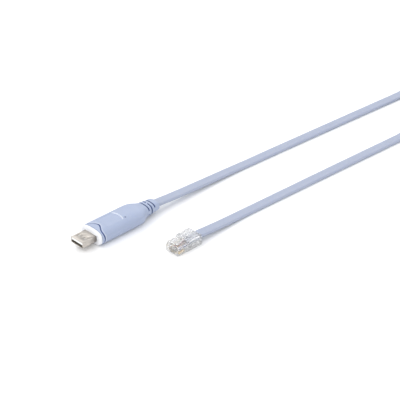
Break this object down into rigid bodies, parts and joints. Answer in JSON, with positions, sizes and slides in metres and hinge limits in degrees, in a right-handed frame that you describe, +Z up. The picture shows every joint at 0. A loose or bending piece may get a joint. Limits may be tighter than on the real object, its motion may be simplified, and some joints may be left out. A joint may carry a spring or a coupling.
{
  "type": "console cable",
  "caption": "Flat blue console cable with a moulded USB plug at one end and a clear latching 8-way modular plug at the other.",
  "frame": {"origin": "on the surface it lies on, under the middle of the box that holds the two plugs", "axes": "+X along the USB plug from its open end towards its cord, +Z up, the modular plug on the -Y side"},
  "size_m": [0.433, 0.1068, 0.011],
  "materials": {
    "nickel": "bright nickel plating",
    "insulator": "white moulded insulator",
    "gold": "gold flash",
    "white_plastic": "satin",
    "blue_plastic": "satin, pale blue",
    "blue_cord": "soft satin, pale blue",
    "clear_plastic": "clear polycarbonate",
    "tie": "black",
    "wire_1": "blue insulation",
    "wire_2": "orange insulation",
    "wire_3": "black insulation",
    "wire_4": "red insulation",
    "wire_5": "green insulation",
    "wire_6": "yellow insulation",
    "wire_7": "brown insulation",
    "wire_8": "white insulation"
  },
  "bodies": {
    "cable": {"usb_shell": "nickel", "usb_tongue": "insulator", "white_collar": "white_plastic", "housing": "blue_plastic", "plug_body": "clear_plastic", "cord_end_in_plug": "blue_cord", "cord_usb_side": "blue_cord", "cord_plug_side": "blue_cord", "cord_coil": "blue_cord", "cord_coil_middle": "blue_cord", "coil_tie": "tie", "usb_contact_1": "gold", "usb_contact_2": "gold", "usb_contact_3": "gold", "usb_contact_4": "gold", "plug_contact_1": "gold", "plug_contact_2": "gold", "plug_contact_3": "gold", "plug_contact_4": "gold", "plug_contact_5": "gold", "plug_contact_6": "gold", "plug_contact_7": "gold", "plug_contact_8": "gold", "wire_1": "wire_1", "wire_2": "wire_2", "wire_3": "wire_3", "wire_4": "wire_4", "wire_5": "wire_5", "wire_6": "wire_6", "wire_7": "wire_7", "wire_8": "wire_8"},
    "latch": {"plug_latch": "clear_plastic"}
  },
  "joints": [
    {"name": "latch_press", "type": "hinge", "parent": "cable", "child": "latch", "pos_m": [0.0087, -0.02563, 0.0069], "axis": [0, 1, 0], "range_deg": [0, 4], "stiffness_Nm_per_rad": 0.02}
  ]
}
